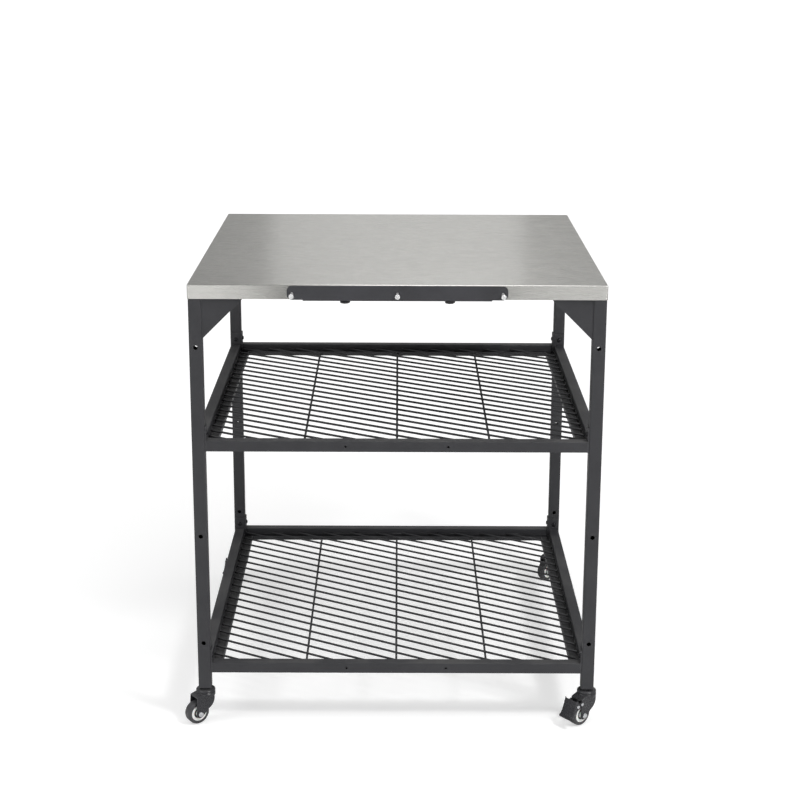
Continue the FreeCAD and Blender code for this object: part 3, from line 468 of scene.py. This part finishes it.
def gusset_beads():
    """Beads along both edges of the eight gussets, on the face that is turned inwards."""
    front_low, front_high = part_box("gussets_front_rear")
    side_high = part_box("gussets_sides")[1]
    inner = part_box("leg_rear_right")[0].x
    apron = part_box("apron_front")[0].z
    foot = front_low.z
    tip = inner - (apron - foot) + GUSSET_TIP_INSET
    corner = inner - GUSSET_CORNER_INSET
    lowest, highest = foot + GUSSET_TIP_INSET, apron - GUSSET_CORNER_INSET
    beads = []
    for sx in (-1, 1):
        for sy in (-1, 1):
            x, y = sx * (side_high.x - GUSSET_SHEET), sy * (front_high.y - GUSSET_SHEET)
            beads += [
                bead((sx * inner, y, lowest), (sx * inner, y, highest),
                     (-sx, 0, 0), (0, -sy, 0), GUSSET_BEAD),
                bead((sx * tip, y, apron), (sx * corner, y, apron),
                     (0, -sy, 0), (0, 0, -1), GUSSET_BEAD),
                bead((x, sy * inner, lowest), (x, sy * inner, highest),
                     (0, -sy, 0), (-sx, 0, 0), GUSSET_BEAD),
                bead((x, sy * tip, apron), (x, sy * corner, apron),
                     (-sx, 0, 0), (0, 0, -1), GUSSET_BEAD)]
    piece("gusset_weld_beads", beads, "frame_coat", "table")


def shelf_beads(level):
    """Stitches of weld between a shelf's rails and its grid, on the side that isn't seen."""
    rail_low, rail_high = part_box(level + "_shelf_rail_front")
    inner = abs(rail_high.y)
    height = rail_low.z + STITCH_ABOVE
    beads = []
    for k in range(STITCHES):
        middle = (k - (STITCHES - 1) / 2) * STITCH_SPACING
        first, last = middle - STITCH_LENGTH / 2, middle + STITCH_LENGTH / 2
        for s in (-1, 1):
            beads += [bead((first, s * inner, height), (last, s * inner, height),
                           (0, -s, 0), (0, 0, 1), STITCH_LEG),
                      bead((s * inner, first, height), (s * inner, last, height),
                           (-s, 0, 0), (0, 0, 1), STITCH_LEG)]
    piece(level + "_shelf_weld_beads", beads, "frame_coat", "table")


# Brake pedals: pressed plates that hang in front of a wheel, in millimetres. A profile's points
# are (ahead, up) of the pivot

PEDAL_FACE = ((3.3, 10.6), (4.7, 6.2), (7.0, -0.6), (9.4, -7.4), (12.2, -14.0), (15.2, -18.8),
              (17.8, -21.9), (18.9, -23.4), (18.7, -24.9), (17.7, -26.0), (16.6, -26.6))
PEDAL_GAUGE = 1.8
PEDAL_HALF = 17.05
PEDAL_SIDE_BEND = 2.4
PEDAL_HORN = 2.2
PEDAL_HORN_WIDTH = 3.4
PEDAL_CROWN = 0.5
PEDAL_COLUMNS = 32
PEDAL_EDGE = 0.35
SET_BACK = 0.8
PAD_FACE = ((16.5, -20.4),) + PEDAL_FACE[6:]
PAD_STEPS = 3
PAD_SKIN = 0.5
PAD_RIB = 0.25
EAR_SHEET = 1.5
EAR_SIDE_CLEARANCE = 0.06
EAR_LUG = 4.2
EAR_BORE = 1.9
EAR_EDGE = ((2.0, 8.2), (3.5, 4.0), (5.7, -1.8), (8.0, -8.0), (10.6, -14.4), (13.2, -18.6),
            (9.6, -15.0), (6.4, -11.2), (3.4, -7.4))
EAR_EDGE_PARTS = 4
EAR_STEPS = 18
LUG_FIRST, LUG_LAST = math.radians(285), math.radians(95)


def offset(profile, gauges):
    """For each gauge, the profile moved by it along its own normal, towards the wheel."""
    before = np.concatenate((profile[:1], profile[:-1]))
    after = np.concatenate((profile[1:], profile[-1:]))
    run = (after - before) / np.linalg.norm(after - before, axis=1, keepdims=True)
    normal = np.stack((run[:, 1], -run[:, 0]), axis=1)
    return profile + np.multiply.outer(gauges, normal)


def columns(half):
    """Distances from a plate's middle, closer towards its sides, and how far its face lies back.

    At a distance y the face lies back by crown * (y / half)^2 and, within the bend's radius r of
    the side, by r - sqrt(r^2 - (y - half + r)^2) more.
    """
    y = half * np.sin(np.linspace(-math.pi / 2, math.pi / 2, PEDAL_COLUMNS + 1))
    past = np.maximum(0.0, np.abs(y) - half + PEDAL_SIDE_BEND)
    bend = PEDAL_SIDE_BEND - np.sqrt(np.maximum(PEDAL_SIDE_BEND ** 2 - past ** 2, 0.0))
    return y, SET_BACK * (PEDAL_CROWN * (y / half) ** 2 + bend)


def plate(front, behind, y):
    """Closed shape between a front and a back, arrays of column and profile point."""
    outline = np.concatenate((front, behind[:, ::-1]), axis=1)
    across = np.broadcast_to(y[:, None], outline.shape[:2])
    return lofted(np.stack((outline[..., 0], across, outline[..., 1]), axis=-1))


def pedal_plate():
    """Plate of a pedal: crowned across, bent back at its sides, with a horn at each top corner.

    The horn's height is horn * c^1.5, where c grows from 0 to 1 over the horn's width.
    """
    profile = np.array(PEDAL_FACE)
    y, back = columns(PEDAL_HALF)
    corner = np.maximum(0.0, np.abs(y) - PEDAL_HALF + PEDAL_HORN_WIDTH) / PEDAL_HORN_WIDTH
    horn = np.outer(PEDAL_HORN * corner ** 1.5, (-0.3, 1.0))
    front = offset(profile, back)
    behind = offset(profile, back + PEDAL_GAUGE)
    front[:, 0] += horn
    behind[:, 0] += horn
    return plate(front, behind, y)


def pedal_pad():
    """Ribbed plastic pad that wraps the toe of a pedal: every second point stands proud."""
    profile = divided(PAD_FACE, PAD_STEPS)
    y, back = columns(PEDAL_HALF + PAD_SKIN)
    front = offset(profile, back - PAD_SKIN)
    front[:, 1::2, 0] += PAD_RIB
    return plate(front, offset(profile, back + PEDAL_GAUGE + PAD_SKIN), y)


def pedal_ear(side):
    """Ear of a pedal: a plate whose lug turns on the pivot pin.

    Four loops make it: the outline and, at the same angles about the pivot, the bore, each on
    the inner and the outer face.
    """
    angle = np.linspace(LUG_FIRST, LUG_LAST, EAR_STEPS + 1)
    lug = EAR_LUG * np.stack((np.cos(angle), np.sin(angle)), axis=1)
    outline = np.concatenate((divided(EAR_EDGE, EAR_EDGE_PARTS), lug))
    bore = EAR_BORE * outline / np.linalg.norm(outline, axis=1, keepdims=True)
    inner = side * (PEDAL_HALF - EAR_SHEET)
    outer = side * (PEDAL_HALF - EAR_SIDE_CLEARANCE)
    loops = ((outline, inner), (outline, outer), (bore, outer), (bore, inner))
    return lofted([np.insert(loop, 1, y, axis=1) for loop, y in loops], ends="joined")


def brake_pedal(corner):
    """Pressed pedal and its toe pad in place of the plain one, set by their hinge."""
    hinge = JOINTS["brake_" + corner]
    pivot, across = np.array(hinge["pos_m"]), np.array(hinge["axis"])
    axes = np.stack((np.cross(across, UP), across, UP)) * MM
    body = "pedal_" + corner
    pressed = [(pivot + points @ axes, faces)
               for points, faces in (pedal_plate(), pedal_ear(-1), pedal_ear(1))]
    pedal = piece("pressed_pedal_" + corner, pressed, "caster_black", body)
    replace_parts(pedal, "caster_" + corner + "_pedal")
    soften(pedal, PEDAL_EDGE)
    points, faces = pedal_pad()
    piece("pedal_toe_pad_" + corner, [(pivot + points @ axes, faces)], "guard_black", body)


# Thumbscrews of the tool rail: lobed knobs with a threaded shank. A profile's points are
# (radius, distance below the rail's lip), in millimetres

KNOB_SPACING = 200.0
KNOB_LOBES = 7
KNOB_PROFILE = ((9.0, 0.0), (9.0, 0.7), (10.0, 1.3), (10.0, 4.8), (9.3, 6.1), (7.9, 6.8),
                (5.2, 7.0), (4.6, 6.8), (2.0, 6.7))
KNOB_STEPS = 112
LOBE_DEPTH = 0.045
LOBED_FROM = 6.0
THREAD_PITCH = 1.0
THREAD_DEPTH = 0.1
THREAD_STEPS = 16
STEPS_PER_PITCH = 4
SHANK_RADIUS = 3.0


def turned(radius, height, angle):
    """Shape of rings: radius is an array of height and angle."""
    around = np.stack((np.cos(angle), np.sin(angle)), axis=1)
    rings = radius[..., None] * around
    return lofted(np.concatenate((rings, np.broadcast_to(
        height[:, None, None], rings.shape[:2] + (1,))), axis=2))


def knob(top):
    """Knob whose radius at an angle a is r * (1 - d + d cos(lobes * a)), d on its rim only."""
    radius, below = np.array(KNOB_PROFILE).T
    angle = circle(KNOB_STEPS)
    wave = LOBE_DEPTH * np.outer(radius > LOBED_FROM, np.cos(KNOB_LOBES * angle))
    return turned(radius[:, None] * (1 - LOBE_DEPTH + wave), top - below, angle)


def shank(bottom, length):
    """Shank whose radius swings along a helix: r - d + d cos(2 pi z / pitch - a)."""
    angle = circle(THREAD_STEPS)
    z = np.linspace(0, length, round(length * STEPS_PER_PITCH / THREAD_PITCH) + 1)
    depth = THREAD_PITCH * THREAD_DEPTH
    radius = SHANK_RADIUS - depth + depth * np.cos(TURN * z[:, None] / THREAD_PITCH - angle)
    return turned(radius, bottom + z, angle)


def rail_thumbscrews():
    """Two lobed thumbscrews in place of the plain ones."""
    low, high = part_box("tool_rail_thumbscrews")
    top = KNOB_PROFILE[-3][1]
    one = joined([knob(top), shank(top, (high.z - low.z) / MM - top)])
    screws = []
    for side in (-1, 1):
        foot = np.array((side * KNOB_SPACING / 2 * MM, (low.y + high.y) / 2, low.z))
        screws.append((foot + one[0] * MM, one[1]))
    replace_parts(piece("lobed_thumbscrews", screws, "black_plastic", "table"),
                "tool_rail_thumbscrews")


# Stage, in metres: a pale floor that sweeps up behind, soft lights and the camera

FLOOR_HALF_WIDTH = 16.0
FLOOR_FRONT = -9.0
FLOOR_REAR = 12.0
SWEEP_RADIUS = 4.0
SWEEP_STEPS = 24
BACKDROP_HEIGHT = 12.0
FLOOR_LIFT_NEAR = 0.50
FLOOR_LIFT_FAR = 0.82
FLOOR_LIFT_REACH = (0.7, 4.5)
FLAG_LEFT = -0.245
FLAG_RIGHT = 0.16
FLAG_PROFILE = ((-1.6, 0.004), (-5.0, 0.004), (-6.0, 0.5), (-6.2, 3.0))

# Soft boxes: name, place, what it looks at, width and height, watts
SOFT_BOXES = (
    ("overhead_soft_box", (0.22, -0.2, 3.2), (0.20, 0.0, 0.5), (1.0, 2.2), 21.0),
    ("high_right_soft_box", (1.8, -1.8, 3.2), (0.0, 0.0, 0.5), (0.7, 0.7), 62.0),
    ("high_left_soft_box", (-2.4, -1.0, 3.0), (0.0, 0.0, 0.5), (1.4, 1.6), 29.0),
    ("front_left_soft_box", (-0.85, -4.3, 0.8), (-0.5, 0.0, 0.8), (0.6, 1.5), 3.3),
    ("front_right_soft_box", (0.85, -4.3, 0.8), (0.5, 0.0, 0.8), (0.7, 1.5), 1.8),
    ("low_left_soft_box", (-1.9, -2.6, 0.5), (-0.2, -0.3, 0.1), (0.9, 0.7), 7.0),
    ("low_right_soft_box", (1.9, -2.6, 0.5), (0.2, -0.3, 0.1), (0.9, 0.7), 7.0),
    ("rear_soft_box", (0.0, 5.5, 2.2), (0.0, 0.0, 0.9), (1.4, 2.4), 4.0),
)


def studio_floor():
    """Pale paper that sweeps up along a quarter circle behind the table.

    The camera sees it a little darker and lifted to white again, which leaves the shadows in.
    """
    material, tree, shader, place = new_finish("studio_paper")
    fibre = add(tree, "TexNoise", {"Vector": place, "Scale": cells(25.0), "Detail": 3.0})
    base = add(tree, "Mix", {0: fibre, 6: colour("#eeeeee"), 7: colour("#f1f1f1")}, 2,
               data_type="RGBA")
    camera_ray = add(tree, "LightPath", {}, "Is Camera Ray")
    seen = add(tree, "Mix", {0: camera_ray, 6: base, 7: colour("#d9d9d9")}, 2, data_type="RGBA")
    away = add(tree, "VectorMath", {0: place}, "Value", operation="LENGTH")
    lift = add(tree, "MapRange", {
        "Value": away, "From Min": FLOOR_LIFT_REACH[0], "From Max": FLOOR_LIFT_REACH[1],
        "To Min": FLOOR_LIFT_NEAR, "To Max": FLOOR_LIFT_FAR})
    feed(tree, shader, {
        "Base Color": seen, "Roughness": 0.9, "Specular IOR Level": 0.1,
        "Emission Color": colour("#ffffff"),
        "Emission Strength": add(tree, "Math", {0: camera_ray, 1: lift}, operation="MULTIPLY")})
    angle = np.linspace(0, math.pi / 2, SWEEP_STEPS + 1)
    rear = FLOOR_REAR + SWEEP_RADIUS
    y = np.concatenate(([FLOOR_FRONT], FLOOR_REAR + SWEEP_RADIUS * np.sin(angle), [rear]))
    z = np.concatenate(([0.0], SWEEP_RADIUS * (1 - np.cos(angle)), [BACKDROP_HEIGHT]))
    rings = [np.stack((np.full_like(y, x), y, z), axis=1)
             for x in (-FLOOR_HALF_WIDTH, FLOOR_HALF_WIDTH)]
    meshed("studio_paper_sweep", lofted(rings, closed=False, ends="open"), material)


def grey_flag():
    """Grey card in front of the table that only reflections meet: it darkens the middle skirt.

    Its edges follow the mirrored sight lines of two points of the skirt, left and right: at a
    distance d before the skirt they are 1 + d / (camera's distance) times as far apart.
    """
    material, tree, shader, place = new_finish("grey_flag_card")
    fibre = add(tree, "TexNoise", {"Vector": place, "Scale": cells(16.7)})
    feed(tree, shader, {
        "Base Color": add(tree, "Mix", {0: fibre, 6: colour("#383838"), 7: colour("#3e3e3e")},
                          2, data_type="RGBA"),
        "Roughness": 1.0, "Specular IOR Level": 0.0})
    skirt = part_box("tabletop_pan")[0].y
    y, z = np.array(FLAG_PROFILE).T
    widening = 1 + (skirt - y) / (skirt - CAMERA_PLACE[1])
    rings = np.stack([np.stack((x * widening, y, z), axis=1) for x in (FLAG_LEFT, FLAG_RIGHT)], 1)
    card = meshed("grey_flag_card", lofted(rings, closed=False, ends="open"), material)
    card.visible_camera = False
    card.visible_shadow = False
    card.visible_diffuse = False


def soft_box(name, place, target, size, power):
    """Rectangular soft box that looks at a point."""
    light = bpy.data.lights.new(name, "AREA")
    light.shape = "RECTANGLE"
    light.size, light.size_y = size
    light.energy = power
    holder = bpy.data.objects.new(name, light)
    bpy.context.scene.collection.objects.link(holder)
    holder.location = place
    holder.visible_camera = False
    holder.rotation_euler = (Vector(target) - Vector(place)).to_track_quat("-Z", "Y").to_euler()


def studio_world():
    """White surroundings for the camera, softer grey for what they light."""
    world = bpy.data.worlds.new("studio_world")
    bpy.context.scene.world = world
    world.use_nodes = True
    tree = world.node_tree
    camera_ray = add(tree, "LightPath", {}, "Is Camera Ray")
    shade = add(tree, "Mix", {0: camera_ray, 6: colour("#acacac"), 7: colour("#ffffff")}, 2,
                data_type="RGBA")
    feed(tree, tree.nodes["Background"], {"Color": shade, "Strength": 1.0})


def photograph_camera():
    """Camera at the photograph's place and angle."""
    data = bpy.data.cameras.new("photograph_camera")
    data.sensor_width = SENSOR_WIDTH
    data.lens = FOCAL_PIXELS / IMAGE_SIZE * SENSOR_WIDTH
    data.shift_y = CAMERA_SHIFT
    data.clip_start = 0.05
    data.clip_end = 100.0
    holder = bpy.data.objects.new("photograph_camera", data)
    bpy.context.scene.collection.objects.link(holder)
    turn = (Matrix.Rotation(-CAMERA_YAW, 4, "Z")
            @ Matrix.Rotation(math.pi / 2 - CAMERA_PITCH, 4, "X")
            @ Matrix.Rotation(CAMERA_ROLL, 4, "Z"))
    holder.matrix_world = Matrix.Translation(CAMERA_PLACE) @ turn
    bpy.context.scene.camera = holder


dress_nodes()
gusset_beads()
for level_name in ("upper", "lower"):
    shelf_beads(level_name)
for corner_name in ("front_right", "rear_left"):
    brake_pedal(corner_name)
rail_thumbscrews()
studio_floor()
grey_flag()
studio_world()
for box in SOFT_BOXES:
    soft_box(*box)
photograph_camera()
bpy.context.scene.view_settings.view_transform = "Standard"

bpy.context.view_layer.update()
